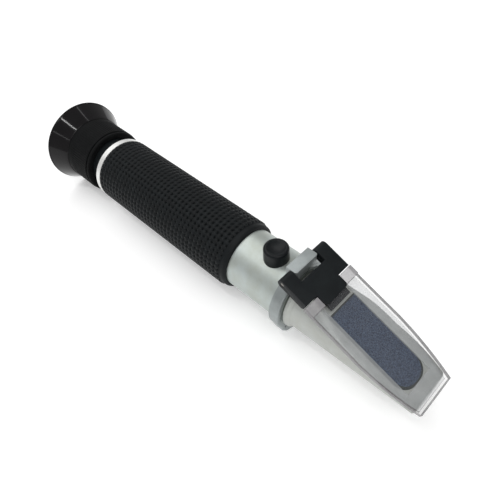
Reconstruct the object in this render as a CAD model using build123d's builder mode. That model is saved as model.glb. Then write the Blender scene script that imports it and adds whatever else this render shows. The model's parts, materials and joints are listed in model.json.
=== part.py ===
from build123d import *
from math import asin, atan, cos, degrees, sin
import os

os.makedirs("parts", exist_ok=True)

# ------------------------------------------------------------------
# Hand-held refractometer.  Millimetres, +Z up, the optical axis along
# +X, the prism at the +X end and the eyecup at the -X end.  The origin
# is under the middle of the part, level with the eyecup's lowest point.
#
# "Station" is a distance along the optical axis from the front end of
# the grip, positive towards the prism.  Heights and radii are measured
# from the optical axis.
# ------------------------------------------------------------------

# tube and grip
TUBE_R = 12.5
TUBE_BORE_R = 11.0
TUBE_REAR = -82.5
TUBE_FRONT = 27.6
GRIP_R = 14.6
GRIP_LENGTH = 80.5
GRIP_LIP = 3.0
GRIP_LIP_R = 14.0
GRIP_LIP_ROUND = 1.4
END_RING_R = 14.43
END_RING_REAR = -83.3
INSIDE_R = 10.95          # pieces that stand still inside the tube

# eyepiece
FOCUS_R = 15.1
FOCUS_REAR = -105.4
FOCUS_FRONT = -88.9
FOCUS_GROOVE = -90.4
GROOVE_HALF = 0.25
GROOVE_DEPTH = 0.7
FRONT_BAND_DROP = 0.2     # how far the ring's front band lies under its ribs
FOCUS_BORE_R = 12.3
THREAD_R = 12.0
THREAD_REAR = -97.0
FOCUS_TRAVEL = 2.6        # room left behind the thread
NECK_R = 13.3
BUSH_BORE_R = 9.8
CELL_R = 9.5
CELL_HEAD_R = 10.0
CELL_BORE_R = 8.6
CUP_R = 19.82
CUP_REAR = -115.3
CUP_LAND = 0.8
CUP_WALL = 1.5
CUP_BASE = -107.0          # front of the bell's inside
CUP_BASE_R = 13.0
EYE_HOLE_R = 9.2

# calibration screw and its cap
SCREW_STATION = 14.7
CAP_TOP = 17.9
CAP_R = 4.7
CAP_FOOT_R = 4.85
CAP_FOOT = 10.5
CAP_FOOT_TOP = 13.2
CAP_ROUND = 0.9
CAP_DISH_R = 2.6
CAP_BORE_R = 3.3
BUSH_R = 3.0
BUSH_TOP = 14.6
SCREW_R = 1.25
OBJECTIVE_R = 10.4

# hinge collar
COLLAR_REAR = 23.3
COLLAR_FRONT = 27.5
COLLAR_R = 14.3
BOSS_REAR = 24.3
BOSS_FRONT = 28.8
BOSS_TOP = 20.2
BOSS_HALF = 5.7
LUG_FLAT = 15.7
PIN_R = 0.7
PIN_CLEARANCE = 0.05
PIN_HALF = 11.2

# prism housing
BODY_REAR = 21.0
SHOULDER_REAR = 28.3
SHOULDER_R = 12.3
BODY_R = 11.2
BODY_TIP_R = 10.6
BODY_TIP = 80.9
LIGHT_BORE_R = 7.5

# the sloping working face: where it starts on the prism and how it falls
FACE_STATION = 44.68
FACE_HEIGHT = 10.62
FACE_FALL = 0.4095
WINDOW_HALF = 6.3
WINDOW_LENGTH = 33.6
WINDOW_CORNER = 5.6
PRISM_FLOOR = -6.0

# daylight cover, measured along the face (a), across it (y) and off it (b)
PLATE_REAR = -8.1
PLATE_TIP = 41.0
PLATE_HALF = 12.1
PLATE_TIP_HALF = 8.75
PLATE_BOTTOM = 0.1
PLATE_TOP = 1.9
PLATE_SKIN = 0.5
RIB_FRONT = -4.2
RIB_TOP = 2.5
BRACKET_TOP = 2.7
BRACKET_LOW = 0.15
BRACKET_BOTTOM = -1.1
BRACKET_HALF = 11.35
EAR_INNER = 6.1
EAR_SKIRT_INNER = 8.6
NOTCH_FRONT = -15.3
WIDE_FRONT = -8.4
STEM_HALF = 5.75
STEM_FRONT = -3.9
STEM_ROUND = 1.3
TONGUE_HALF = 5.0
TONGUE_FRONT = -1.5
TONGUE_LOW = 0.6
TONGUE_TOP = 1.5
PIN_A = -18.95
PIN_B = 0.8
EAR_ROUND = 1.9

# ------------------------------------------------------------------
# frame: the length is centred on the origin
# ------------------------------------------------------------------
FACE_ANGLE = atan(FACE_FALL)
FACE_COS = cos(FACE_ANGLE)
FACE_SIN = sin(FACE_ANGLE)
TIP_STATION = FACE_STATION + PLATE_TIP * FACE_COS + PLATE_TOP * FACE_SIN
GRIP_FRONT_X = -(TIP_STATION + CUP_REAR) / 2
AXIS_Z = CUP_R

SIDE = Plane(origin=(GRIP_FRONT_X, 0, AXIS_Z), x_dir=(1, 0, 0), z_dir=(0, -1, 0))
OPTICAL = Axis(origin=(GRIP_FRONT_X, 0, AXIS_Z), direction=(1, 0, 0))
SCREW_AXIS = Axis(origin=(GRIP_FRONT_X + SCREW_STATION, 0, AXIS_Z), direction=(0, 0, 1))

face_origin = (GRIP_FRONT_X + FACE_STATION, 0, AXIS_Z + FACE_HEIGHT)
face_x = (FACE_COS, 0, -FACE_SIN)
FACE = Plane(origin=face_origin, x_dir=face_x, z_dir=(FACE_SIN, 0, FACE_COS))
FACE_SIDE = Plane(origin=face_origin, x_dir=face_x, z_dir=(0, -1, 0))

PIN_STATION = FACE_STATION + PIN_A * FACE_COS + PIN_B * FACE_SIN
PIN_HEIGHT = FACE_HEIGHT - PIN_A * FACE_SIN + PIN_B * FACE_COS


def across(station):
    """Plane square to the optical axis, facing +X; local x is +Y and local y is up."""
    return Plane(origin=(GRIP_FRONT_X + station, 0, AXIS_Z), x_dir=(0, 1, 0), z_dir=(1, 0, 0))


def outline(*points):
    """Closed straight-sided outline of (station, height) points in the side plane."""
    with BuildSketch(SIDE) as profile:
        with BuildLine():
            Polyline(*points, close=True)
        make_face()
    return profile.sketch


def band(rear, front, inner, outer):
    """Side section of a plain ring."""
    return outline((rear, inner), (front, inner), (front, outer), (rear, outer))


def bar(rear, front, low, high):
    """Rectangle in the side plane, given in face coordinates (a, b)."""
    with BuildSketch(FACE_SIDE) as profile:
        with BuildLine():
            Polyline((rear, low), (front, low), (front, high), (rear, high), close=True)
        make_face()
    return profile.sketch


def dome_middle(crown, rim, radius):
    """Point halfway along a lens surface centred on the optical axis."""
    rise = rim - crown
    sphere_r = (radius**2 + rise**2) / (2 * abs(rise))
    half_angle = asin(radius / sphere_r) / 2
    drop = sphere_r * (1 - cos(half_angle))
    return (crown + (drop if rise > 0 else -drop), sphere_r * sin(half_angle))


# ------------------------------------------------------------------
# tube, grip and end ring
# ------------------------------------------------------------------
with BuildPart() as main_tube:
    revolve(band(TUBE_REAR, TUBE_FRONT, TUBE_BORE_R, TUBE_R), axis=OPTICAL)
    with BuildSketch(Plane.XY.offset(AXIS_Z)) as bush_seat:
        with Locations((GRIP_FRONT_X + SCREW_STATION, 0)):
            Circle(BUSH_R)
    extrude(amount=TUBE_R + 1, mode=Mode.SUBTRACT)
main_tube.part.label = "main_tube"
export_step(main_tube.part, "parts/main_tube.step")

with BuildPart() as grip_sleeve:
    with BuildSketch(SIDE) as grip_section:
        with BuildLine():
            Polyline((0, TUBE_R), (-GRIP_LENGTH, TUBE_R), (-GRIP_LENGTH, GRIP_R), (-GRIP_LIP, GRIP_R))
            round_start = (-GRIP_LIP_ROUND, GRIP_LIP_R)
            round_end = (0, GRIP_LIP_R - GRIP_LIP_ROUND)
            Polyline((-GRIP_LIP, GRIP_R), (-GRIP_LIP, GRIP_LIP_R), round_start)
            TangentArc(round_start, round_end, tangent=(1, 0))
            Line(round_end, (0, TUBE_R))
        make_face()
    revolve(axis=OPTICAL)
grip_sleeve.part.label = "grip_sleeve"
export_step(grip_sleeve.part, "parts/grip_sleeve.step")

with BuildPart() as end_ring:
    revolve(
        outline(
            (END_RING_REAR, TUBE_BORE_R),
            (TUBE_REAR, TUBE_BORE_R),
            (TUBE_REAR, TUBE_R),
            (-GRIP_LENGTH, TUBE_R),
            (-GRIP_LENGTH, END_RING_R),
            (END_RING_REAR + 0.3, END_RING_R),
            (END_RING_REAR, END_RING_R - 0.3),
        ),
        axis=OPTICAL,
    )
end_ring.part.label = "end_ring"
export_step(end_ring.part, "parts/end_ring.step")

# ------------------------------------------------------------------
# eyepiece: fixed bush, focus ring, eyecup and sliding lens cell
# ------------------------------------------------------------------
with BuildPart() as eyepiece_bush:
    with BuildSketch(SIDE) as bush_section:
        with BuildLine():
            Polyline(
                (THREAD_REAR, BUSH_BORE_R),
                (-70, BUSH_BORE_R),
                (-70, INSIDE_R),
                (END_RING_REAR, INSIDE_R),
                (END_RING_REAR, NECK_R),
            )
            ThreePointArc((END_RING_REAR, NECK_R), (-85.9, 12.3), (-87.3, THREAD_R))
            Polyline((-87.3, THREAD_R), (THREAD_REAR, THREAD_R), (THREAD_REAR, BUSH_BORE_R))
        make_face()
    revolve(axis=OPTICAL)
eyepiece_bush.part.label = "eyepiece_bush"
export_step(eyepiece_bush.part, "parts/eyepiece_bush.step")

with BuildPart() as focus_ring:
    front_band_r = FOCUS_R - FRONT_BAND_DROP
    bore_rear = THREAD_REAR - FOCUS_TRAVEL
    revolve(
        outline(
            (FOCUS_REAR, CELL_HEAD_R + 0.3),
            (bore_rear, CELL_HEAD_R + 0.3),
            (bore_rear, FOCUS_BORE_R),
            (FOCUS_FRONT, FOCUS_BORE_R),
            (FOCUS_FRONT, front_band_r - 0.5),
            (FOCUS_FRONT - 0.5, front_band_r),
            (FOCUS_GROOVE + GROOVE_HALF, front_band_r),
            (FOCUS_GROOVE + GROOVE_HALF, FOCUS_R - GROOVE_DEPTH),
            (FOCUS_GROOVE - GROOVE_HALF, FOCUS_R - GROOVE_DEPTH),
            (FOCUS_GROOVE - GROOVE_HALF, FOCUS_R),
            (FOCUS_REAR, FOCUS_R),
        ),
        axis=OPTICAL,
    )
focus_ring.part.label = "focus_ring"
export_step(focus_ring.part, "parts/focus_ring.step")

with BuildPart() as eyecup:
    cup_inside = CUP_R - CUP_WALL
    with BuildSketch(SIDE) as cup_section:
        with BuildLine():
            Polyline(
                (CUP_BASE, CUP_BASE_R),
                (CUP_BASE, EYE_HOLE_R),
                (FOCUS_REAR, EYE_HOLE_R),
                (FOCUS_REAR, FOCUS_R),
                (CUP_REAR + CUP_LAND, CUP_R),
                (CUP_REAR, CUP_R),
                (CUP_REAR, cup_inside),
            )
            ThreePointArc((CUP_REAR, cup_inside), (-110.4, 15.7), (CUP_BASE, CUP_BASE_R))
        make_face()
    revolve(axis=OPTICAL)
eyecup.part.label = "eyecup"
export_step(eyecup.part, "parts/eyecup.step")

CELL_REAR = FOCUS_REAR
CELL_FRONT = -80.0
CELL_GROOVE = -92.0
with BuildPart() as lens_cell:
    revolve(
        outline(
            (CELL_REAR, CELL_BORE_R),
            (CELL_FRONT, CELL_BORE_R),
            (CELL_FRONT, CELL_R),
            (CELL_GROOVE + 0.55, CELL_R),
            (CELL_GROOVE + 0.55, CELL_R - 0.5),
            (CELL_GROOVE - 0.55, CELL_R - 0.5),
            (CELL_GROOVE - 0.55, CELL_R),
            (-99.0, CELL_R),
            (-99.0, CELL_HEAD_R),
            (CELL_REAR, CELL_HEAD_R),
        ),
        axis=OPTICAL,
    )
lens_cell.part.label = "lens_cell"
export_step(lens_cell.part, "parts/lens_cell.step")

with BuildPart() as cell_o_ring:
    with BuildSketch(SIDE) as cord_section:
        with Locations((CELL_GROOVE, CELL_R - 0.11)):
            Circle(0.38)
    revolve(axis=OPTICAL)
cell_o_ring.part.label = "cell_o_ring"
export_step(cell_o_ring.part, "parts/cell_o_ring.step")

LENS_R = CELL_BORE_R
with BuildPart() as eye_lens:
    with BuildSketch(SIDE) as eye_lens_section:
        with BuildLine():
            Line((-103.4, 0), (-99.2, 0))
            ThreePointArc((-99.2, 0), dome_middle(-99.2, -100.4, LENS_R), (-100.4, LENS_R))
            Line((-100.4, LENS_R), (-102.2, LENS_R))
            ThreePointArc((-102.2, LENS_R), dome_middle(-103.4, -102.2, LENS_R), (-103.4, 0))
        make_face()
    revolve(axis=OPTICAL)
eye_lens.part.label = "eye_lens"
export_step(eye_lens.part, "parts/eye_lens.step")

with BuildPart() as lens_spacer:
    revolve(band(-100.1, -88.0, 7.6, LENS_R), axis=OPTICAL)
lens_spacer.part.label = "lens_spacer"
export_step(lens_spacer.part, "parts/lens_spacer.step")

with BuildPart() as field_lens:
    with BuildSketch(SIDE) as field_lens_section:
        with BuildLine():
            Polyline((-84.6, 0), (-84.6, LENS_R), (-86.2, LENS_R))
            ThreePointArc((-86.2, LENS_R), dome_middle(-87.8, -86.2, LENS_R), (-87.8, 0))
            Line((-87.8, 0), (-84.6, 0))
        make_face()
    revolve(axis=OPTICAL)
field_lens.part.label = "field_lens"
export_step(field_lens.part, "parts/field_lens.step")

with BuildPart() as eye_retainer:
    revolve(band(-104.8, -102.6, 7.4, LENS_R), axis=OPTICAL)
    with BuildSketch(across(-104.8)) as spanner_slot:
        Rectangle(2 * LENS_R + 2, 1.0)
    extrude(amount=0.8, mode=Mode.SUBTRACT)
eye_retainer.part.label = "eye_retainer"
export_step(eye_retainer.part, "parts/eye_retainer.step")

with BuildPart() as field_retainer:
    revolve(band(-84.6, -82.6, 7.4, LENS_R), axis=OPTICAL)
field_retainer.part.label = "field_retainer"
export_step(field_retainer.part, "parts/field_retainer.step")

# ------------------------------------------------------------------
# optics that stand in the tube: reticle, barrel, baffle, bimetal strip
# ------------------------------------------------------------------
RETICLE_REAR = -66.0
RETICLE_FRONT = -58.0
with BuildPart() as reticle_cell:
    revolve(
        outline(
            (RETICLE_REAR, 9.3),
            (-63.2, 9.3),
            (-63.2, 8.2),
            (RETICLE_FRONT, 8.2),
            (RETICLE_FRONT, INSIDE_R),
            (RETICLE_REAR, INSIDE_R),
        ),
        axis=OPTICAL,
    )
reticle_cell.part.label = "reticle_cell"
export_step(reticle_cell.part, "parts/reticle_cell.step")

with BuildPart() as reticle:
    revolve(band(-64.4, -63.2, 0, 9.3), axis=OPTICAL)
reticle.part.label = "reticle"
export_step(reticle.part, "parts/reticle.step")

with BuildPart() as reticle_retainer:
    revolve(band(-65.9, -64.4, 8.2, 9.3), axis=OPTICAL)
reticle_retainer.part.label = "reticle_retainer"
export_step(reticle_retainer.part, "parts/reticle_retainer.step")

BARREL_BORE_R = 8.7
BARREL_FRONT = 8.5
with BuildPart() as inner_barrel:
    revolve(band(RETICLE_FRONT, BARREL_FRONT, BARREL_BORE_R, INSIDE_R), axis=OPTICAL)
inner_barrel.part.label = "inner_barrel"
export_step(inner_barrel.part, "parts/inner_barrel.step")

with BuildPart() as light_baffle:
    revolve(band(-40.0, -38.8, 5.5, BARREL_BORE_R), axis=OPTICAL)
light_baffle.part.label = "light_baffle"
export_step(light_baffle.part, "parts/light_baffle.step")

STRIP_HALF = 2.0
STRIP_LOW = -7.6
STRIP_THICK = 0.5
with BuildPart() as bimetal_strip:
    with BuildSketch(SIDE) as strip_section:
        with BuildLine():
            Polyline(
                (-24.0, STRIP_LOW),
                (10.3, STRIP_LOW),
                (10.3, STRIP_LOW + STRIP_THICK),
                (-24.0, STRIP_LOW + STRIP_THICK),
                close=True,
            )
        make_face()
    extrude(amount=STRIP_HALF, both=True)
bimetal_strip.part.label = "bimetal_strip"
export_step(bimetal_strip.part, "parts/bimetal_strip.step")

with BuildPart() as bimetal_block:
    with BuildSketch(across(-24.0)) as block_section:
        Circle(BARREL_BORE_R)
        with Locations((0, BARREL_BORE_R + STRIP_LOW)):
            Rectangle(4 * BARREL_BORE_R, 2 * BARREL_BORE_R, mode=Mode.SUBTRACT)
    extrude(amount=5.0)
bimetal_block.part.label = "bimetal_block"
export_step(bimetal_block.part, "parts/bimetal_block.step")

with BuildPart() as bimetal_rivet:
    with BuildSketch(Plane.XY.offset(AXIS_Z + STRIP_LOW + STRIP_THICK)) as rivet_head:
        with Locations((GRIP_FRONT_X - 21.5, 0)):
            Circle(1.3)
    extrude(amount=0.6)
    fillet(bimetal_rivet.faces().sort_by(Axis.Z)[-1].edges(), 0.3)
bimetal_rivet.part.label = "bimetal_rivet"
export_step(bimetal_rivet.part, "parts/bimetal_rivet.step")

# ------------------------------------------------------------------
# objective, moved up and down by the calibration screw
# ------------------------------------------------------------------
OBJECTIVE_REAR = 10.7
OBJECTIVE_FRONT = 18.7
with BuildPart() as guide_ring_rear:
    revolve(band(BARREL_FRONT, OBJECTIVE_REAR - 0.3, 8.5, INSIDE_R), axis=OPTICAL)
guide_ring_rear.part.label = "guide_ring_rear"
export_step(guide_ring_rear.part, "parts/guide_ring_rear.step")

with BuildPart() as guide_ring_front:
    revolve(band(OBJECTIVE_FRONT + 0.3, BODY_REAR, 8.5, INSIDE_R), axis=OPTICAL)
guide_ring_front.part.label = "guide_ring_front"
export_step(guide_ring_front.part, "parts/guide_ring_front.step")

with BuildPart() as objective_cell:
    revolve(
        outline(
            (OBJECTIVE_REAR, 6.9),
            (12.2, 6.9),
            (12.2, 8.0),
            (OBJECTIVE_FRONT, 8.0),
            (OBJECTIVE_FRONT, OBJECTIVE_R),
            (OBJECTIVE_REAR, OBJECTIVE_R),
        ),
        axis=OPTICAL,
    )
objective_cell.part.label = "objective_cell"
export_step(objective_cell.part, "parts/objective_cell.step")

with BuildPart() as objective_lens:
    with BuildSketch(SIDE) as objective_section:
        with BuildLine():
            Polyline((12.2, 0), (12.2, 8.0), (14.6, 8.0))
            ThreePointArc((14.6, 8.0), dome_middle(16.4, 14.6, 8.0), (16.4, 0))
            Line((16.4, 0), (12.2, 0))
        make_face()
    revolve(axis=OPTICAL)
objective_lens.part.label = "objective_lens"
export_step(objective_lens.part, "parts/objective_lens.step")

with BuildPart() as objective_retainer:
    revolve(band(15.0, 16.8, 7.2, 8.0), axis=OPTICAL)
objective_retainer.part.label = "objective_retainer"
export_step(objective_retainer.part, "parts/objective_retainer.step")

SPRING_HALF = 1.5
SPRING_THICK = 0.15
SPRING_LOW = -10.8
SPRING_HIGH = -10.42
with BuildPart() as return_spring:
    with BuildSketch(SIDE) as spring_section:
        with BuildLine():
            spring_start = (SCREW_STATION - 3, SPRING_LOW)
            spring_end = (SCREW_STATION + 3, SPRING_LOW)
            spring_crown = (SCREW_STATION, SPRING_HIGH - SPRING_THICK)
            ThreePointArc(spring_start, spring_crown, spring_end)
            Line(spring_end, (SCREW_STATION + 3, SPRING_LOW + SPRING_THICK))
            ThreePointArc(
                (SCREW_STATION + 3, SPRING_LOW + SPRING_THICK),
                (SCREW_STATION, SPRING_HIGH),
                (SCREW_STATION - 3, SPRING_LOW + SPRING_THICK),
            )
            Line((SCREW_STATION - 3, SPRING_LOW + SPRING_THICK), spring_start)
        make_face()
    extrude(amount=SPRING_HALF, both=True)
return_spring.part.label = "return_spring"
export_step(return_spring.part, "parts/return_spring.step")

with BuildPart() as calibration_bush:
    revolve(
        outline(
            (SCREW_STATION + SCREW_R + 0.05, TUBE_BORE_R - 0.05),
            (SCREW_STATION + BUSH_R, TUBE_BORE_R - 0.05),
            (SCREW_STATION + BUSH_R, BUSH_TOP - 0.4),
            (SCREW_STATION + BUSH_R - 0.4, BUSH_TOP),
            (SCREW_STATION + SCREW_R + 0.05, BUSH_TOP),
        ),
        axis=SCREW_AXIS,
    )
calibration_bush.part.label = "calibration_bush"
export_step(calibration_bush.part, "parts/calibration_bush.step")

with BuildPart() as calibration_screw:
    revolve(
        outline(
            (SCREW_STATION, OBJECTIVE_R + 0.02),
            (SCREW_STATION + 0.6, OBJECTIVE_R + 0.02),
            (SCREW_STATION + SCREW_R, OBJECTIVE_R + 0.7),
            (SCREW_STATION + SCREW_R, BUSH_TOP - 0.6),
            (SCREW_STATION, BUSH_TOP - 0.6),
        ),
        axis=SCREW_AXIS,
    )
    with BuildSketch(Plane.XY.offset(AXIS_Z + BUSH_TOP - 0.6)) as driver_slot:
        with Locations((GRIP_FRONT_X + SCREW_STATION, 0)):
            Rectangle(4 * SCREW_R, 0.45)
    extrude(amount=-0.7, mode=Mode.SUBTRACT)
calibration_screw.part.label = "calibration_screw"
export_step(calibration_screw.part, "parts/calibration_screw.step")

with BuildPart() as screw_cap:
    with BuildSketch(SIDE) as cap_section:
        with BuildLine():
            cap_x = SCREW_STATION
            round_start = (cap_x + CAP_R, CAP_TOP - CAP_ROUND)
            round_end = (cap_x + CAP_R - CAP_ROUND, CAP_TOP)
            cap_ceiling = BUSH_TOP + 1.5
            Polyline(
                (cap_x, cap_ceiling),
                (cap_x + CAP_BORE_R, cap_ceiling),
                (cap_x + CAP_BORE_R, CAP_FOOT),
                (cap_x + CAP_FOOT_R, CAP_FOOT),
                (cap_x + CAP_FOOT_R, CAP_FOOT_TOP),
                (cap_x + CAP_R, CAP_FOOT_TOP + 0.5),
                round_start,
            )
            TangentArc(round_start, round_end, tangent=(0, 1))
            Line(round_end, (cap_x + CAP_DISH_R, CAP_TOP))
            Line((cap_x + CAP_DISH_R, CAP_TOP), (cap_x + CAP_DISH_R - 0.4, CAP_TOP - 0.25))
            Line((cap_x + CAP_DISH_R - 0.4, CAP_TOP - 0.25), (cap_x, CAP_TOP - 0.35))
            Line((cap_x, CAP_TOP - 0.35), (cap_x, cap_ceiling))
        make_face()
    revolve(axis=SCREW_AXIS)
    with BuildSketch(across(0)) as saddle:
        Circle(TUBE_R + 0.2)
    extrude(amount=2 * SCREW_STATION, mode=Mode.SUBTRACT)
screw_cap.part.label = "screw_cap"
export_step(screw_cap.part, "parts/screw_cap.step")

# ------------------------------------------------------------------
# hinge collar: a ring with a boss on top for the hinge pin and a
# flat-bottomed lug underneath, which the instrument rests on
# ------------------------------------------------------------------
with BuildPart() as hinge_collar:
    with BuildSketch(across(COLLAR_REAR)) as collar_face:
        Circle(COLLAR_R)
        with BuildLine():
            Polyline(
                (13.0, -5.6),
                (11.1, -11.4),
                (9.2, -13.8),
                (5.0, -LUG_FLAT),
                (-5.0, -LUG_FLAT),
                (-9.2, -13.8),
                (-11.1, -11.4),
                (-13.0, -5.6),
                close=True,
            )
        make_face()
    extrude(amount=COLLAR_FRONT - COLLAR_REAR)
    chamfer(hinge_collar.faces().sort_by(Axis.X)[-1].edges(), 0.4)
    with BuildSketch(SIDE) as boss_section:
        with BuildLine():
            Polyline(
                (BOSS_REAR, 8.0),
                (COLLAR_FRONT, 8.0),
                (COLLAR_FRONT, 14.8),
                (BOSS_FRONT, 16.1),
                (BOSS_FRONT, BOSS_TOP),
                (BOSS_REAR, BOSS_TOP),
                close=True,
            )
        make_face()
    extrude(amount=BOSS_HALF, both=True)
    boss_corners = hinge_collar.edges().filter_by(Axis.Z).group_by(Axis.Z)[-1]
    fillet(boss_corners, 0.9)
    with BuildSketch(across(COLLAR_REAR - 1)) as tube_seat:
        Circle(TUBE_R)
    extrude(amount=COLLAR_FRONT - COLLAR_REAR + 3, mode=Mode.SUBTRACT)
    with BuildSketch(SIDE) as pin_hole:
        with Locations((PIN_STATION, PIN_HEIGHT)):
            Circle(PIN_R)
    extrude(amount=BOSS_HALF + 1, both=True, mode=Mode.SUBTRACT)
    with BuildSketch(across(COLLAR_FRONT)) as spanner_holes:
        with Locations((-9.7, -9.6), (9.7, -9.6)):
            Circle(0.55)
    extrude(amount=-2.0, mode=Mode.SUBTRACT)
    with BuildSketch(Plane.XY.offset(AXIS_Z - LUG_FLAT)) as lock_hole:
        with Locations((GRIP_FRONT_X + (COLLAR_REAR + COLLAR_FRONT) / 2, 0)):
            Circle(SCREW_R)
    extrude(amount=LUG_FLAT - 11, mode=Mode.SUBTRACT)
hinge_collar.part.label = "hinge_collar"
export_step(hinge_collar.part, "parts/hinge_collar.step")

with BuildPart() as collar_screw:
    with BuildSketch(Plane.XY.offset(AXIS_Z - LUG_FLAT + 0.4)) as lock_screw:
        with Locations((GRIP_FRONT_X + (COLLAR_REAR + COLLAR_FRONT) / 2, 0)):
            Circle(SCREW_R)
    extrude(amount=LUG_FLAT - 0.4 - TUBE_R)
    with BuildSketch(Plane.XY.offset(AXIS_Z - LUG_FLAT + 0.4)) as key_socket:
        with Locations((GRIP_FRONT_X + (COLLAR_REAR + COLLAR_FRONT) / 2, 0)):
            RegularPolygon(0.7, 6)
    extrude(amount=1.2, mode=Mode.SUBTRACT)
collar_screw.part.label = "collar_screw"
export_step(collar_screw.part, "parts/collar_screw.step")

with BuildPart() as hinge_pin:
    with BuildSketch(SIDE) as pin_section:
        with Locations((PIN_STATION, PIN_HEIGHT)):
            Circle(PIN_R)
    extrude(amount=PIN_HALF, both=True)
hinge_pin.part.label = "hinge_pin"
export_step(hinge_pin.part, "parts/hinge_pin.step")

# ------------------------------------------------------------------
# prism, its seal and the housing that carries them
# ------------------------------------------------------------------


def window(margin_left=0.0, margin_right=0.0, margin_end=0.0):
    """The prism's face on the sloping plane, grown by the margins given."""
    low = -WINDOW_HALF - margin_left
    high = WINDOW_HALF + margin_right
    with BuildSketch(FACE) as face:
        with BuildLine():
            Polyline(
                (-margin_end, low),
                (WINDOW_LENGTH + margin_end, low),
                (WINDOW_LENGTH + margin_end, high),
                (-margin_end, high),
                close=True,
            )
        make_face()
        front_corners = face.vertices().group_by(Axis.X)[-1]
        fillet(front_corners, WINDOW_CORNER)
    return face.sketch


with BuildPart() as prism:
    extrude(window(), amount=-24)
    with BuildSketch(SIDE) as prism_side:
        with BuildLine():
            Polyline(
                (FACE_STATION, PRISM_FLOOR),
                (BODY_TIP, PRISM_FLOOR),
                (BODY_TIP, FACE_HEIGHT),
                (FACE_STATION, FACE_HEIGHT),
                close=True,
            )
        make_face()
    extrude(amount=WINDOW_HALF + 1, both=True, mode=Mode.INTERSECT)
prism.part.label = "prism"
export_step(prism.part, "parts/prism.step")

SEAL_DEPTH = 1.2
SEAL_LEFT = 1.0
SEAL_RIGHT = 0.4
SEAL_END = 0.6
with BuildPart() as prism_seal:
    extrude(window(SEAL_LEFT, SEAL_RIGHT, SEAL_END), amount=-SEAL_DEPTH)
    extrude(window(), amount=-2 * SEAL_DEPTH, mode=Mode.SUBTRACT)
prism_seal.part.label = "prism_seal"
export_step(prism_seal.part, "parts/prism_seal.step")

with BuildPart() as prism_body:
    revolve(
        outline(
            (BODY_REAR, 0),
            (BODY_REAR, INSIDE_R),
            (SHOULDER_REAR, INSIDE_R),
            (SHOULDER_REAR, SHOULDER_R),
            (29.4, SHOULDER_R),
            (30.4, BODY_R),
            (BODY_TIP - 0.7, BODY_TIP_R),
            (BODY_TIP, BODY_TIP_R - 0.7),
            (BODY_TIP, 0),
        ),
        axis=OPTICAL,
    )
    with BuildSketch(Plane.XY.offset(AXIS_Z)) as block_plan:
        with BuildLine(Plane.XY.offset(AXIS_Z)):
            side_points = [(30.6, 6.0), (38.0, 6.8), (44.0, 8.2), (50.0, 9.7), (57.0, 10.2), (70.0, 10.2)]
            left = [(GRIP_FRONT_X + s, y) for s, y in side_points]
            right = [(x, -y) for x, y in left]
            Spline(*left)
            Line(left[-1], right[-1])
            Spline(*right)
            Line(right[0], left[0])
        make_face()
    extrude(amount=20)
    with BuildSketch(FACE_SIDE) as above_face:
        with BuildLine():
            Polyline((-30, 0), (60, 0), (60, 40), (-30, 40), close=True)
        make_face()
    extrude(amount=30, both=True, mode=Mode.SUBTRACT)
    top_face = prism_body.faces().filter_by(lambda f: f.normal_at().dot(FACE.z_dir) > 0.999).sort_by(SortBy.AREA)[-1]
    fillet(top_face.edges(), 0.6)
    with BuildSketch(across(BODY_REAR)) as light_bore:
        Circle(LIGHT_BORE_R)
    extrude(amount=FACE_STATION - BODY_REAR, mode=Mode.SUBTRACT)
    add(prism.part, mode=Mode.SUBTRACT)
    add(prism_seal.part, mode=Mode.SUBTRACT)
prism_body.part.label = "prism_body"
export_step(prism_body.part, "parts/prism_body.step")

with BuildPart() as entrance_stop:
    revolve(band(32.0, 33.0, 5.0, LIGHT_BORE_R), axis=OPTICAL)
entrance_stop.part.label = "entrance_stop"
export_step(entrance_stop.part, "parts/entrance_stop.step")

# ------------------------------------------------------------------
# daylight cover: a black bracket on the hinge and a clear plate
# ------------------------------------------------------------------
with BuildPart() as cover_bracket:
    for side in (1, -1):
        ear_plane = FACE_SIDE.offset(-side * EAR_INNER)
        with BuildSketch(ear_plane) as ear_section:
            with BuildLine():
                ear_low = PIN_B - EAR_ROUND
                ear_high = PIN_B + EAR_ROUND
                ThreePointArc((PIN_A, ear_high), (PIN_A - EAR_ROUND, PIN_B), (PIN_A, ear_low))
                Line((PIN_A, ear_low), (WIDE_FRONT - 1.2, ear_low))
                TangentArc((WIDE_FRONT - 1.2, ear_low), (WIDE_FRONT, ear_low + 1.2), tangent=(1, 0))
                Line((WIDE_FRONT, ear_low + 1.2), (WIDE_FRONT, ear_high))
                Line((WIDE_FRONT, ear_high), (PIN_A, ear_high))
            make_face()
        extrude(amount=-side * (BRACKET_HALF - EAR_INNER))
    ear_inner_low = bar(NOTCH_FRONT, WIDE_FRONT, BRACKET_BOTTOM - 1, BRACKET_LOW)
    extrude(ear_inner_low, amount=EAR_SKIRT_INNER, both=True, mode=Mode.SUBTRACT)
    extrude(bar(NOTCH_FRONT, WIDE_FRONT, BRACKET_LOW, BRACKET_TOP), amount=BRACKET_HALF - 1, both=True)
    with BuildSketch(FACE.offset(BRACKET_LOW)) as stem_plan:
        with Locations(((WIDE_FRONT + STEM_FRONT) / 2, 0)):
            Rectangle(STEM_FRONT - WIDE_FRONT, 2 * STEM_HALF)
        stem_corners = stem_plan.vertices().group_by(Axis.X)[-1]
        fillet(stem_corners, STEM_ROUND)
    extrude(amount=BRACKET_TOP - BRACKET_LOW)
    extrude(bar(STEM_FRONT - STEM_ROUND, TONGUE_FRONT, TONGUE_LOW, TONGUE_TOP), amount=TONGUE_HALF - 0.7, both=True)
    extrude(bar(STEM_FRONT, TONGUE_FRONT, TONGUE_LOW, TONGUE_TOP), amount=TONGUE_HALF, both=True)
    with BuildSketch(SIDE) as ear_bores:
        with Locations((PIN_STATION, PIN_HEIGHT)):
            Circle(PIN_R + PIN_CLEARANCE)
    extrude(amount=BRACKET_HALF + 1, both=True, mode=Mode.SUBTRACT)
cover_bracket.part.label = "cover_bracket"
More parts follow.
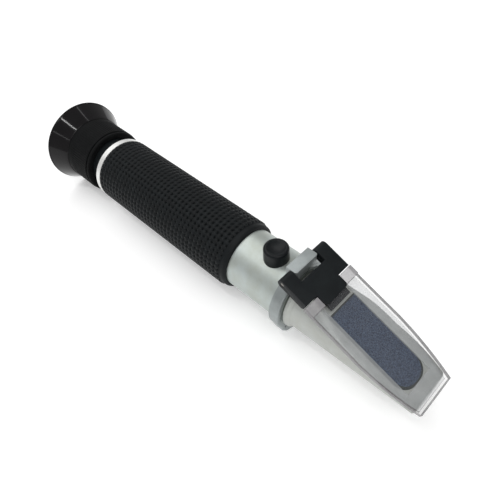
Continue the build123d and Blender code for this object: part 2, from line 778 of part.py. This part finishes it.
export_step(cover_bracket.part, "parts/cover_bracket.step")


def plate_outline(inset):
    """Plan of the clear plate: parallel sides that draw in towards the tip."""
    rear = PLATE_REAR + inset
    tip = PLATE_TIP - inset
    half = PLATE_HALF - inset
    tip_half = PLATE_TIP_HALF - inset
    with BuildSketch(FACE) as plan:
        with BuildLine():
            Line((rear, half), (15.5, half))
            ThreePointArc((15.5, half), (30.0, half - 1.25), (tip, tip_half))
            Line((tip, tip_half), (tip, -tip_half))
            ThreePointArc((tip, -tip_half), (30.0, -half + 1.25), (15.5, -half))
            Line((15.5, -half), (rear, -half))
            Line((rear, -half), (rear, half))
        make_face()
    return plan.sketch


PAD_REAR = -0.8
PAD_FRONT = 33.3
RIM = 1.0
with BuildPart() as daylight_plate:
    extrude(plate_outline(0.0), amount=PLATE_TOP)
    extrude(plate_outline(RIM), amount=PLATE_SKIN, mode=Mode.SUBTRACT)
    extrude(bar(PLATE_REAR, RIB_FRONT, PLATE_BOTTOM, RIB_TOP), amount=PLATE_HALF, both=True)
    extrude(bar(RIB_FRONT, PAD_FRONT, PLATE_BOTTOM, PLATE_SKIN), amount=WINDOW_HALF, both=True)
    under = bar(PLATE_REAR - 1, PLATE_TIP + 1, -1, PLATE_BOTTOM)
    extrude(under, amount=PLATE_HALF + 1, both=True, mode=Mode.SUBTRACT)
    stem_gap = bar(PLATE_REAR - 1, STEM_FRONT + 0.1, -1, RIB_TOP + 1)
    extrude(stem_gap, amount=STEM_HALF + 0.1, both=True, mode=Mode.SUBTRACT)
    tongue_gap = bar(STEM_FRONT, TONGUE_FRONT, TONGUE_LOW, TONGUE_TOP)
    extrude(tongue_gap, amount=TONGUE_HALF, both=True, mode=Mode.SUBTRACT)
daylight_plate.part.label = "daylight_plate"
export_step(daylight_plate.part, "parts/daylight_plate.step")

print(f"length {TIP_STATION - CUP_REAR:.2f}, grip front at x {GRIP_FRONT_X:.3f}, axis at z {AXIS_Z:.2f}")
print(f"hinge pin at x {GRIP_FRONT_X + PIN_STATION:.3f}, z {AXIS_Z + PIN_HEIGHT:.3f}")
print(f"face origin {face_origin}, falls {degrees(FACE_ANGLE):.3f} degrees")
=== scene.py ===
"""Looks for a hand-held refractometer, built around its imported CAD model.

Metres, +Z up, the optical axis along +X with the prism at the +X end. "Station" is a distance
along the optical axis from the front end of the grip. Small sizes are written in millimetres
and multiplied by MM.
"""

import json
from math import atan, cos, pi, radians, sin

import bmesh
import bpy
from mathutils import Matrix, Vector


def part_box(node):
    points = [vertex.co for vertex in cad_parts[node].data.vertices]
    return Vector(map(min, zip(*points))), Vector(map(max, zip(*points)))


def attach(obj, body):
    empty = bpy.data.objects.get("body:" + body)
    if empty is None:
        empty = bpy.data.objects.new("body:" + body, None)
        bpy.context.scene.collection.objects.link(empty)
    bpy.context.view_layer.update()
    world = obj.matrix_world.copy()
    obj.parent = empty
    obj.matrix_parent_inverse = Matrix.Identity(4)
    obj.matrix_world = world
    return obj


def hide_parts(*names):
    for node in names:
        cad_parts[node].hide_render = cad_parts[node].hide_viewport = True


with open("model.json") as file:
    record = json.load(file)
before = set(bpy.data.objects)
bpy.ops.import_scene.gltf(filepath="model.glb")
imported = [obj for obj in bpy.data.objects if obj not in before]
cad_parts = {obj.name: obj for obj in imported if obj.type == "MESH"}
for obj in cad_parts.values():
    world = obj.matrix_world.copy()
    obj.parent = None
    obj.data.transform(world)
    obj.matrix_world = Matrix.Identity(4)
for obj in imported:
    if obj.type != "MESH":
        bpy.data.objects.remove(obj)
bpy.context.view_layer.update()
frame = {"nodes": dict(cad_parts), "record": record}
nodes = frame["nodes"]
MM = 0.001

# ------------------------------------------------------------------
# where things are, read from the frame
# ------------------------------------------------------------------
grip_lo, grip_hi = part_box("grip_sleeve")
cup_lo, cup_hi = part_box("eyecup")
prism_lo, prism_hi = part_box("prism")

AXIS_Z = (grip_lo.z + grip_hi.z) / 2
GRIP_FRONT = grip_hi.x
GRIP_R = (grip_hi.z - grip_lo.z) / 2 / MM

# the sloping working face, which falls towards the tip; places on it are millimetres downhill of
# its rear edge, and heights are millimetres off it
FACE_ORIGIN = Vector((prism_lo.x, 0, prism_hi.z))
FACE_FALL = atan(0.4095)
FACE_NORMAL = Vector((sin(FACE_FALL), 0, cos(FACE_FALL)))
FACE_DOWNHILL = Vector((cos(FACE_FALL), 0, -sin(FACE_FALL)))


def downhill(place):
    """Millimetres from the face's rear edge, measured down the slope."""
    return (place - FACE_ORIGIN).dot(FACE_DOWNHILL) / MM


def off_face(place):
    """Millimetres above the sloping face."""
    return (place - FACE_ORIGIN).dot(FACE_NORMAL) / MM


def station(s):
    """Row x of a station given in millimetres."""
    return GRIP_FRONT + s * MM


# ------------------------------------------------------------------
# node materials
# ------------------------------------------------------------------
RAMP_STOPS = (0.3, 0.7)


class Recipe:
    """A material being built: one Principled shader whose colour, roughness and relief are noise."""

    def __init__(self, name, colour, roughness, metallic=0.0, **sockets):
        self.material = bpy.data.materials.new(name)
        self.material.use_nodes = True
        self.tree = self.material.node_tree
        self.shader = self.tree.nodes["Principled BSDF"]
        self.shader.inputs["Base Color"].default_value = (*colour, 1)
        self.shader.inputs["Roughness"].default_value = roughness
        self.shader.inputs["Metallic"].default_value = metallic
        for socket, value in sockets.items():
            self.shader.inputs[socket.replace("_", " ")].default_value = value
        self.roughness = roughness
        self.coordinates = self.tree.nodes.new("ShaderNodeTexCoord").outputs["Object"]

    def link(self, output, socket):
        self.tree.links.new(output, socket)

    def noise(self, size, detail=3.0, stretch=(1, 1, 1), rough=0.5):
        """Noise whose blotches are about `size` metres across."""
        scale = self.tree.nodes.new("ShaderNodeMapping")
        scale.inputs["Scale"].default_value = [1 / (size * k) for k in stretch]
        self.link(self.coordinates, scale.inputs["Vector"])
        made = self.tree.nodes.new("ShaderNodeTexNoise")
        made.inputs["Scale"].default_value = 1.0
        made.inputs["Detail"].default_value = detail
        made.inputs["Roughness"].default_value = rough
        self.link(scale.outputs["Vector"], made.inputs["Vector"])
        return made.outputs["Fac"]

    def mottle(self, size, low, high, **noise):
        """Base colour in soft blotches, from low to high."""
        ramp = self.tree.nodes.new("ShaderNodeValToRGB")
        for stop, position, colour in zip(ramp.color_ramp.elements, RAMP_STOPS, (low, high)):
            stop.position = position
            stop.color = (*colour, 1)
        self.link(self.noise(size, **noise), ramp.inputs["Fac"])
        self.link(ramp.outputs["Color"], self.shader.inputs["Base Color"])
        return self

    def vary_roughness(self, size, spread, **noise):
        """Roughness that drifts either side of its middle value."""
        drift = self.tree.nodes.new("ShaderNodeMapRange")
        drift.inputs["To Min"].default_value = self.roughness - spread
        drift.inputs["To Max"].default_value = self.roughness + spread
        self.link(self.noise(size, **noise), drift.inputs["Value"])
        self.link(drift.outputs["Result"], self.shader.inputs["Roughness"])
        return self

    def bump(self, size, depth, **noise):
        """Relief of that size and depth, both in metres."""
        relief = self.tree.nodes.new("ShaderNodeBump")
        relief.inputs["Distance"].default_value = depth
        self.link(self.noise(size, **noise), relief.inputs["Height"])
        self.link(relief.outputs["Normal"], self.shader.inputs["Normal"])
        return self

    def done(self):
        return self.material


def grey(level):
    return (level, level, level)


# metals of the housing
aluminium = (
    Recipe("aluminium", grey(0.46), 0.44, metallic=0.7)
    .mottle(7 * MM, (0.40, 0.43, 0.39), (0.48, 0.53, 0.52), detail=5.0, rough=0.62)
    .vary_roughness(3 * MM, 0.06)
    .bump(0.22 * MM, 0.012 * MM)
    .done()
)
# painted shade: a darker copy of the aluminium, standing in for the shade on the prism body's
# downward-facing sides
shaded_body_metal = (
    Recipe("shaded_body_metal", grey(0.42), 0.46, metallic=0.5)
    .mottle(6 * MM, (0.40, 0.41, 0.38), (0.47, 0.49, 0.47), detail=5.0, rough=0.6)
    .vary_roughness(3 * MM, 0.06)
    .bump(0.22 * MM, 0.012 * MM)
    .done()
)
# the collar's own greyer, bluer tone, made darker still as painted shade for its lower side
collar_tone_and_shade = (
    Recipe("collar_tone_and_shade", grey(0.36), 0.40, metallic=0.6)
    .mottle(5 * MM, (0.24, 0.26, 0.26), (0.32, 0.35, 0.35), detail=5.0, rough=0.6)
    .vary_roughness(3 * MM, 0.06)
    .bump(0.2 * MM, 0.012 * MM)
    .done()
)
bright = (
    Recipe("bright", grey(0.78), 0.38, metallic=0.6)
    .mottle(4 * MM, (0.74, 0.74, 0.72), (0.82, 0.82, 0.81))
    .vary_roughness(2 * MM, 0.06, stretch=(0.1, 1, 1))
    .bump(0.2 * MM, 0.004 * MM)
    .done()
)
# rubbers and black plastics
grip_rubber = (
    Recipe("grip_rubber", grey(0.004), 0.56, Specular_IOR_Level=0.16)
    .mottle(3 * MM, (0.0035, 0.0045, 0.005), (0.0055, 0.0075, 0.0085))
    .vary_roughness(2 * MM, 0.06)
    .bump(0.15 * MM, 0.01 * MM)
    .done()
)
cap_rubber = (
    Recipe("cap_rubber", grey(0.004), 0.3, Specular_IOR_Level=0.16)
    .mottle(2 * MM, (0.0035, 0.0045, 0.0055), (0.006, 0.008, 0.009))
    .vary_roughness(1 * MM, 0.06)
    .bump(0.12 * MM, 0.012 * MM)
    .done()
)
gloss_black = (
    Recipe("gloss_black", grey(0.004), 0.1, Specular_IOR_Level=0.2)
    .mottle(6 * MM, (0.004, 0.0035, 0.004), (0.006, 0.0055, 0.006))
    .vary_roughness(5 * MM, 0.03)
    .bump(0.6 * MM, 0.0015 * MM)
    .done()
)
ring_black = (
    Recipe("ring_black", grey(0.004), 0.66, Specular_IOR_Level=0.08)
    .mottle(4 * MM, (0.0035, 0.0038, 0.004), (0.0055, 0.006, 0.0062))
    .vary_roughness(2 * MM, 0.05)
    .bump(0.2 * MM, 0.008 * MM)
    .done()
)
bracket_plastic = (
    Recipe("bracket_plastic", grey(0.006), 0.48, Specular_IOR_Level=0.16)
    .mottle(3 * MM, (0.005, 0.0065, 0.0075), (0.0075, 0.010, 0.011))
    .vary_roughness(2 * MM, 0.05)
    .bump(0.15 * MM, 0.01 * MM)
    .done()
)
# the clear cover: its skin, the frosted underside of its margin, and painted shade on its outer edges
# and its rear bars
clear_plastic = (
    Recipe("clear_plastic", (0.20, 0.20, 0.21), 0.08, Alpha=0.1, IOR=1.49)
    .mottle(9 * MM, (0.17, 0.17, 0.18), (0.23, 0.23, 0.24))
    .vary_roughness(5 * MM, 0.03)
    .bump(3 * MM, 0.004 * MM)
    .done()
)
clear_margin = (
    Recipe("clear_margin", (0.50, 0.52, 0.53), 0.25, Alpha=0.44, IOR=1.49)
    .mottle(5 * MM, (0.44, 0.46, 0.47), (0.56, 0.58, 0.59))
    .vary_roughness(3 * MM, 0.05)
    .bump(1 * MM, 0.006 * MM)
    .done()
)
# painted shade: near-opaque dark grey on the cover's walls, standing in for the darkening that
# refraction gives clear plastic there
painted_edge_shade = (
    Recipe("painted_edge_shade", (0.21, 0.20, 0.21), 0.12, Alpha=0.8, IOR=1.49)
    .mottle(6 * MM, (0.17, 0.16, 0.17), (0.25, 0.24, 0.25))
    .vary_roughness(2 * MM, 0.05)
    .bump(0.4 * MM, 0.008 * MM)
    .done()
)
# painted shade: grey on the tops of the rear bars, standing in for the shading that refraction gives
# the rounded clear bars
painted_bar_shade = (
    Recipe("painted_bar_shade", (0.34, 0.33, 0.34), 0.18, Alpha=0.7, IOR=1.49)
    .mottle(6 * MM, (0.30, 0.29, 0.30), (0.38, 0.37, 0.38))
    .vary_roughness(2 * MM, 0.06)
    .bump(0.4 * MM, 0.01 * MM)
    .done()
)
# the prism's face and the seal round it
window_glass = (
    Recipe("window_glass", (0.05, 0.075, 0.12), 0.35, Specular_IOR_Level=0.2)
    .mottle(0.45 * MM, (0.002, 0.006, 0.020), (0.092, 0.126, 0.192), rough=0.7)
    .vary_roughness(1 * MM, 0.08)
    .bump(0.3 * MM, 0.01 * MM)
    .done()
)
seal = (
    Recipe("seal", (0.012, 0.018, 0.015), 0.5)
    .mottle(1 * MM, (0.009, 0.014, 0.012), (0.018, 0.026, 0.021))
    .bump(0.3 * MM, 0.02 * MM)
    .done()
)
# small hardware and everything inside the tube
steel = (
    Recipe("steel", grey(0.5), 0.3, metallic=1.0)
    .mottle(1 * MM, grey(0.46), grey(0.56))
    .vary_roughness(1 * MM, 0.06)
    .bump(0.1 * MM, 0.004 * MM)
    .done()
)
pin_steel = (
    Recipe("pin_steel", grey(0.24), 0.4, metallic=0.9)
    .mottle(0.5 * MM, (0.20, 0.19, 0.17), (0.28, 0.27, 0.25))
    .vary_roughness(0.5 * MM, 0.08)
    .bump(0.1 * MM, 0.004 * MM)
    .done()
)
brass = (
    Recipe("brass", (0.7, 0.5, 0.2), 0.3, metallic=1.0)
    .mottle(1 * MM, (0.62, 0.44, 0.17), (0.75, 0.54, 0.24))
    .vary_roughness(1 * MM, 0.06)
    .bump(0.1 * MM, 0.004 * MM)
    .done()
)
blackened = (
    Recipe("blackened", grey(0.02), 0.6, metallic=0.3)
    .mottle(2 * MM, grey(0.014), grey(0.028))
    .vary_roughness(1 * MM, 0.08)
    .bump(0.15 * MM, 0.006 * MM)
    .done()
)
bimetal = (
    Recipe("bimetal", (0.45, 0.40, 0.34), 0.35, metallic=1.0)
    .mottle(2 * MM, (0.38, 0.33, 0.28), (0.52, 0.47, 0.40), stretch=(3, 1, 1))
    .bump(0.1 * MM, 0.004 * MM)
    .done()
)
lens_glass = (
    Recipe("lens_glass", (0.97, 0.985, 0.98), 0.02, Transmission_Weight=1.0, IOR=1.52)
    .bump(4 * MM, 0.002 * MM)
    .done()
)

FINISHES = {
    "aluminium_satin": aluminium,
    "bright_ring": bright,
    "grip_rubber": grip_rubber,
    "cap_rubber": cap_rubber,
    "eyecup_gloss": gloss_black,
    "black_plastic": bracket_plastic,
    "clear_plastic": clear_plastic,
    "prism_glass": window_glass,
    "lens_glass": lens_glass,
    "seal_black": seal,
    "steel": steel,
    "brass": brass,
    "blackened_metal": blackened,
    "bimetal": bimetal,
}


def dress(piece, material):
    piece.data.materials.clear()
    piece.data.materials.append(material)


# every node gets its slot's material; the hinge pin has its own metal, and the housing's head gets a
# darker copy of the aluminium as painted shade for its downward-facing sides
for row in frame["record"]["subparts"]:
    if row["node"] in nodes:
        dress(nodes[row["node"]], FINISHES[row["material_slot"]])
dress(nodes["prism_body"], shaded_body_metal)
dress(nodes["hinge_pin"], pin_steel)


# ------------------------------------------------------------------
# making pieces
# ------------------------------------------------------------------
def finish_piece(name, bm, material, body, stands_for, smooth=35):
    """Turns a bmesh into a piece that rides on a body and stands for CAD nodes. Edges that bend
    by more than `smooth` degrees stay sharp."""
    bmesh.ops.recalc_face_normals(bm, faces=bm.faces)
    mesh = bpy.data.meshes.new(name)
    bm.to_mesh(mesh)
    bm.free()
    mesh.shade_smooth()
    mesh.set_sharp_from_angle(angle=radians(smooth))
    made = bpy.data.objects.new(name, mesh)
    bpy.context.scene.collection.objects.link(made)
    dress(made, material)
    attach(made, body)
    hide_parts(*stands_for)
    return made


def arc(start, middle, end, steps):
    """Points along the circle through three points, ends included."""
    (ax, ay), (bx, by), (cx, cy) = start, middle, end
    a, b, c = ax**2 + ay**2, bx**2 + by**2, cx**2 + cy**2
    d = 2 * (ax * (by - cy) + bx * (cy - ay) + cx * (ay - by))
    centre_x = (a * (by - cy) + b * (cy - ay) + c * (ay - by)) / d
    centre_y = (a * (cx - bx) + b * (ax - cx) + c * (bx - ax)) / d
    centre = Vector((centre_x, centre_y))
    first = Vector(start) - centre
    last = Vector(end) - centre
    arms = [first.slerp(last, t / steps).normalized() * first.length for t in range(steps + 1)]
    return [tuple(centre + arm) for arm in arms]


def even_turns(count):
    return [2 * pi * k / count for k in range(count)]


def bridge(bm, one, two):
    """Quads between two rings of the same count."""
    count = len(one)
    for k in range(count):
        bm.faces.new((one[k], one[(k + 1) % count], two[(k + 1) % count], two[k]))


def lathe(profile, turns, relief=None):
    """A ring round the optical axis from a closed outline of (station, radius) points in mm.
    relief(point number, step round the ring) is added to the radius."""
    bm = bmesh.new()
    rings = []
    for i, (s, r) in enumerate(profile):
        ring = []
        for k, turn in enumerate(turns):
            radius = (r + (relief(i, k) if relief else 0)) * MM
            ring.append(bm.verts.new((station(s), radius * sin(turn), AXIS_Z + radius * cos(turn))))
        rings.append(ring)
    for one, two in zip(rings, rings[1:] + rings[:1]):
        bridge(bm, one, two)
    return bm


WELD = 0.002
FLAT_WITHIN = 0.5
SHARP_OVER = 28


def softened(node, width):
    """A CAD node's shape with its sharp edges rounded by `width` millimetres."""
    bm = bmesh.new()
    bm.from_mesh(nodes[node].data)
    bmesh.ops.remove_doubles(bm, verts=bm.verts, dist=WELD * MM)
    bmesh.ops.dissolve_limit(bm, angle_limit=radians(FLAT_WITHIN), verts=bm.verts, edges=bm.edges)
    inner = [edge for edge in bm.edges if len(edge.link_faces) == 2]
    sharp = [edge for edge in inner if edge.calc_face_angle() > radians(SHARP_OVER)]
    bmesh.ops.bevel(
        bm, geom=sharp, offset=width * MM, segments=3, profile=0.5, affect="EDGES", clamp_overlap=True
    )
    return bm


# ------------------------------------------------------------------
# grip: rubber sleeve with crossing grooves and a pit at each crossing
# ------------------------------------------------------------------
GRIP_REAR = -80.5
TEXTURE_FRONT = -3.0
ROWS = 35
COLUMNS = 42
CELL_STEPS = (0.0, 0.1, 0.17, 0.25, 0.5, 0.75, 0.83, 0.9)
GROOVE_DEPTH = 0.3
CHANNEL_DEPTH = 0.16
PIT_DEPTH = 0.75
GROOVE_WIDTH = 0.25
PIT_WIDTH = 0.27
LIP_R = 14.0
GRIP_BORE_R = 12.52


def dip(t, width):
    """1 at a cell's edge, falling smoothly to 0 at `width` of a cell from it."""
    near = min(t, 1 - t) / width
    return 0.0 if near >= 1 else (1 - near**2) ** 1.5


pitch = (TEXTURE_FRONT - GRIP_REAR) / ROWS
textured = [(GRIP_REAR + pitch * (row + t), t) for row in range(ROWS) for t in CELL_STEPS]
along = [t for s, t in textured] + [0.0]
grip_profile = [(s, GRIP_R) for s, t in textured]
grip_profile += [(TEXTURE_FRONT, GRIP_R), (-2.9, 14.3), (-2.78, 14.06), (-2.6, LIP_R), (-1.8, LIP_R)]
grip_profile += arc((-1.4, LIP_R), (-0.41, 13.59), (0.0, 12.6), 8)
grip_profile += [(-0.1, GRIP_BORE_R), (GRIP_REAR, GRIP_BORE_R)]
grip_turns = [2 * pi * ((column + t) / COLUMNS) for column in range(COLUMNS) for t in CELL_STEPS]


def grip_relief(i, k):
    if i >= len(along):
        return 0.0
    u, v = along[i], CELL_STEPS[k % len(CELL_STEPS)]
    groove = GROOVE_DEPTH * dip(u, GROOVE_WIDTH)
    channel = CHANNEL_DEPTH * dip(v, GROOVE_WIDTH)
    return -max(groove, channel) - PIT_DEPTH * dip(u, PIT_WIDTH) * dip(v, PIT_WIDTH)


grip_mesh = lathe(grip_profile, grip_turns, grip_relief)
finish_piece("grip", grip_mesh, grip_rubber, "housing", ["grip_sleeve"], smooth=60)

# ------------------------------------------------------------------
# focus ring: fine straight ribs behind a groove and a plain band
# ------------------------------------------------------------------
RIBS = 84
RIB_DEPTH = 0.16
RIB_STEPS = (1, 0.55, 0, 0, 0, 0.55)
RING_FRONT = -88.9
RING_REAR = -105.4
RING_SHELF = -99.6
RING_R = 15.1
RING_BORE_R = 12.3
RING_HOLE_R = 10.3
RING_GROOVE_R = 14.4
RIB_FRONT = -91.7
RIB_REAR = -101.6

ring_profile = [(RING_REAR, RING_HOLE_R), (RING_SHELF, RING_HOLE_R)]
ring_profile += [(RING_SHELF, RING_BORE_R), (RING_FRONT, RING_BORE_R)]
ring_profile += [(RING_FRONT, 14.4), (-89.25, 14.82), (-90.1, 14.9)]
ring_profile += [(-90.18, RING_GROOVE_R), (-90.62, RING_GROOVE_R)]
ring_profile += [(-90.7, 15.02), (-90.9, 15.08), (-91.4, RING_R)]
ribbed = range(len(ring_profile), len(ring_profile) + 2)
ring_profile += [(RIB_FRONT, RING_R), (RIB_REAR, RING_R)]
ring_profile += [(-101.9, RING_R), (-104.9, RING_R), (-105.25, 15.02), (RING_REAR, 14.8)]


def ring_relief(i, k):
    return -RIB_DEPTH * RIB_STEPS[k % len(RIB_STEPS)] if i in ribbed else 0.0


ring_mesh = lathe(ring_profile, even_turns(RIBS * len(RIB_STEPS)), ring_relief)
finish_piece("focus_grip_ring", ring_mesh, ring_black, "focus_knob", ["focus_ring"])

# ------------------------------------------------------------------
# eyecup: a thin flared bell with a rolled rim
# ------------------------------------------------------------------
CUP_FRONT = -105.4
CUP_SHELF = -107.0
EYE_HOLE_R = 9.2
CONE_FRONT = -105.65
CONE_FRONT_R = 15.3
CONE_LENGTH = 8.01
CONE_RISE = 3.852
CONE_STEPS = 9

cup_profile = [(CUP_SHELF, EYE_HOLE_R), (CUP_FRONT, EYE_HOLE_R)]
cup_profile += [(CUP_FRONT, 14.95), (-105.45, 15.15), (CONE_FRONT, CONE_FRONT_R)]
for step in range(1, CONE_STEPS + 1):
    share = step / CONE_STEPS
    cup_profile.append((CONE_FRONT - CONE_LENGTH * share, CONE_FRONT_R + CONE_RISE * share))
cup_profile += arc((-114.2, 19.4), (-114.85, 19.68), (-115.3, 19.3), 6)
cup_profile += arc((-115.3, 18.7), (-110.4, 15.7), (CUP_SHELF, 13.0), 16)
cup_mesh = lathe(cup_profile, even_turns(160))
finish_piece("eyecup_bell", cup_mesh, gloss_black, "focus_knob", ["eyecup"], smooth=50)

# ------------------------------------------------------------------
# hinge collar: the CAD shape with its edges broken
# ------------------------------------------------------------------
collar_mesh = softened("hinge_collar", 0.2)
finish_piece("collar", collar_mesh, collar_tone_and_shade, "housing", ["hinge_collar"])

# ------------------------------------------------------------------
# bracket: rounded all over, with its tongue a hair smaller than the slot
# it fills in the cover
# ------------------------------------------------------------------
STEM_FRONT = -3.9
TONGUE_FRONT = -1.5
TONGUE_MIDDLE = 1.05
TONGUE_THINNER = 0.1
TONGUE_NARROWER = 0.01

bracket_mesh = softened("cover_bracket", 0.4)
for vert in bracket_mesh.verts:
    if downhill(vert.co) > STEM_FRONT + 0.05:
        from_middle = (off_face(vert.co) - TONGUE_MIDDLE) * MM
        vert.co -= FACE_NORMAL * from_middle * TONGUE_THINNER
        vert.co.y *= 1 - TONGUE_NARROWER
finish_piece("bracket", bracket_mesh, bracket_plastic, "cover", ["cover_bracket"])

# ------------------------------------------------------------------
# clear cover: skin, frosted margin and painted shade on its walls and raised bars are materials
# of one moulding, chosen face by face
# ------------------------------------------------------------------
PAD_FRONT = 33.3
PAD_OVERHANG = 1.0
PAD_WALL_TOP = 0.6
PAD_WALL_REACH = 0.4
PAD_HALF_WIDTH = 6.7
PAD_TOP = 0.55
PAD_END = 35
UNDERSIDE_FROM = 0.3
SLOT_HALF_WIDTH = 5.9
SLOT_MARGIN = 0.3
PLATE_TOP = 2.2
STEEP = 0.8
LEVEL = 0.95
SKIN, PAINTED_BAR_SHADE, MARGIN, PAINTED_EDGE_SHADE = range(4)

cover_mesh = softened("daylight_plate", 0.2)
for vert in cover_mesh.verts:
    if off_face(vert.co) < PAD_WALL_TOP and abs(downhill(vert.co) - PAD_FRONT) < PAD_WALL_REACH:
        vert.co += FACE_DOWNHILL * PAD_OVERHANG * MM


def cover_material(place, normal):
    """Which of the cover's materials belongs on a face at that place."""
    tilt = normal.dot(FACE_NORMAL)
    height = off_face(place)
    along_face = downhill(place)
    by_pad = height < PAD_TOP and abs(place.y) < PAD_HALF_WIDTH * MM and along_face < PAD_END
    underside = tilt < 0 and height > UNDERSIDE_FROM
    in_slot = STEM_FRONT - SLOT_MARGIN < along_face < TONGUE_FRONT + SLOT_MARGIN
    if in_slot and abs(place.y) < SLOT_HALF_WIDTH * MM:
        return SKIN
    if by_pad:
        return MARGIN if abs(tilt) < STEEP or underside else SKIN
    # steep walls get the painted edge shade, raised level tops the painted bar shade
    if abs(tilt) < LEVEL:
        return PAINTED_EDGE_SHADE
    if height > PLATE_TOP:
        return PAINTED_BAR_SHADE
    return MARGIN if underside else SKIN


clear_cover = finish_piece(
    "clear_cover", cover_mesh, clear_plastic, "cover", ["daylight_plate"]
)
for material in (painted_bar_shade, clear_margin, painted_edge_shade):
    clear_cover.data.materials.append(material)
for face in clear_cover.data.polygons:
    face.material_index = cover_material(face.center, face.normal)

# ------------------------------------------------------------------
# rubber cap over the calibration screw: a dished top and a foot that
# follows the tube; its outlines are (radius, height over the optical axis)
# ------------------------------------------------------------------
CAP_STATION = 14.7
CAP_TURNS = even_turns(96)
ON_TUBE = 0
SADDLE_R = 12.55
BORE_R = 3.3
BORE_TOP = 16.1
FOOT_R = 4.85
CAP_TOP = 17.9
DISH_R = 3.4
DISH_LOW = 17.15
DISH_RISE = 0.6
DISH_STEPS = 8

cap_bore = [(BORE_R, BORE_TOP), (BORE_R, ON_TUBE)]
cap_skin = [(FOOT_R, ON_TUBE), (FOOT_R, 12.9), (4.81, 14.4), (4.77, 15.8)]
cap_skin += arc((4.75, 16.9), (4.45, 17.61), (3.75, CAP_TOP), 7)
cap_skin += [(3.55, 17.88), (DISH_R, 17.78)]
for step in range(1, DISH_STEPS):
    share = 1 - step / DISH_STEPS
    cap_skin.append((DISH_R * share, DISH_LOW + DISH_RISE * share**2))


def cap_point(radius, height, turn):
    x, y = radius * cos(turn), radius * sin(turn)
    if height == ON_TUBE:
        height = (SADDLE_R**2 - y**2) ** 0.5
    return (station(CAP_STATION) + x * MM, y * MM, AXIS_Z + height * MM)


def close_ring(bm, ring, height):
    """A fan of triangles from a ring to a point on the cap's axis."""
    middle = bm.verts.new(cap_point(0, height, 0))
    for one, two in zip(ring, ring[1:] + ring[:1]):
        bm.faces.new((one, two, middle))


cap_mesh = bmesh.new()
cap_rings = []
for radius, height in cap_bore + cap_skin:
    cap_rings.append([cap_mesh.verts.new(cap_point(radius, height, turn)) for turn in CAP_TURNS])
for one, two in zip(cap_rings, cap_rings[1:]):
    bridge(cap_mesh, one, two)
close_ring(cap_mesh, cap_rings[0], BORE_TOP)
close_ring(cap_mesh, cap_rings[-1], DISH_LOW)
finish_piece("cap", cap_mesh, cap_rubber, "cap", ["screw_cap"], smooth=50)

# ------------------------------------------------------------------
# camera, floor and light
# ------------------------------------------------------------------
CAMERA_PLACE = (0.108775, -0.083145, 0.174047)
CAMERA_RIGHT = Vector((0.72085, 0.69051, -0.05978))
CAMERA_UP = Vector((-0.50504, 0.58238, 0.63700))

camera = bpy.data.objects.new("camera", bpy.data.cameras.new("camera"))
bpy.context.scene.collection.objects.link(camera)
camera.data.sensor_width = 36
camera.data.lens = 36.17
camera.data.clip_start = 0.005
camera.data.clip_end = 50
axes = Matrix((CAMERA_RIGHT, CAMERA_UP, CAMERA_RIGHT.cross(CAMERA_UP)))
camera.matrix_world = Matrix.Translation(CAMERA_PLACE) @ axes.transposed().to_4x4()
bpy.context.scene.camera = camera

FLOOR_REACH = 4
FLOOR_GLOW = 0.24
floor_corners = [(x * FLOOR_REACH, y * FLOOR_REACH, 0) for x, y in ((-1, -1), (1, -1), (1, 1), (-1, 1))]
floor_mesh = bpy.data.meshes.new("floor")
floor_mesh.from_pydata(floor_corners, [], [(0, 1, 2, 3)])
floor = bpy.data.objects.new("floor", floor_mesh)
bpy.context.scene.collection.objects.link(floor)
paper = Recipe("paper", grey(0.9), 0.9).mottle(0.3, grey(0.895), grey(0.905))
paper.shader.inputs["Emission Color"].default_value = (1, 1, 1, 1)
paper.shader.inputs["Emission Strength"].default_value = FLOOR_GLOW
dress(floor, paper.done())


def softbox(name, place, aim, size, watts):
    """A rectangular light at a place, aimed at a point."""
    lamp = bpy.data.lights.new(name, "AREA")
    lamp.shape = "RECTANGLE"
    lamp.size, lamp.size_y = size
    lamp.energy = watts
    holder = bpy.data.objects.new(name, lamp)
    bpy.context.scene.collection.objects.link(holder)
    holder.location = place
    holder.rotation_mode = "QUATERNION"
    holder.rotation_quaternion = (Vector(aim) - Vector(place)).to_track_quat("-Z", "Y")


# a key and a long soft light for the whole object, and three narrow lights for the thin streaks
# on the eyecup
middle = (0, 0, 0.03)
softbox("key", (0.85, -0.4, 1.25), middle, size=(1.1, 1.1), watts=8)
softbox("behind", (-0.75, 0.05, 1.2), middle, size=(1.8, 0.8), watts=8)
cup_middle = ((cup_lo + cup_hi) / 2).to_tuple()
softbox("tube_above", (-0.04, -0.37, 1.2), cup_middle, size=(0.3, 0.04), watts=1.4)
softbox("tube_behind", (-0.15, 0.53, 1.02), cup_middle, size=(0.3, 0.03), watts=0.16)
softbox("tube_front", (-0.07, -0.95, 0.72), cup_middle, size=(0.3, 0.03), watts=0.12)

world = bpy.data.worlds.new("studio")
world.use_nodes = True
world.node_tree.nodes["Background"].inputs["Color"].default_value = (1, 1, 1, 1)
world.node_tree.nodes["Background"].inputs["Strength"].default_value = 0.48
bpy.context.scene.world = world
bpy.context.scene.view_settings.view_transform = "Standard"
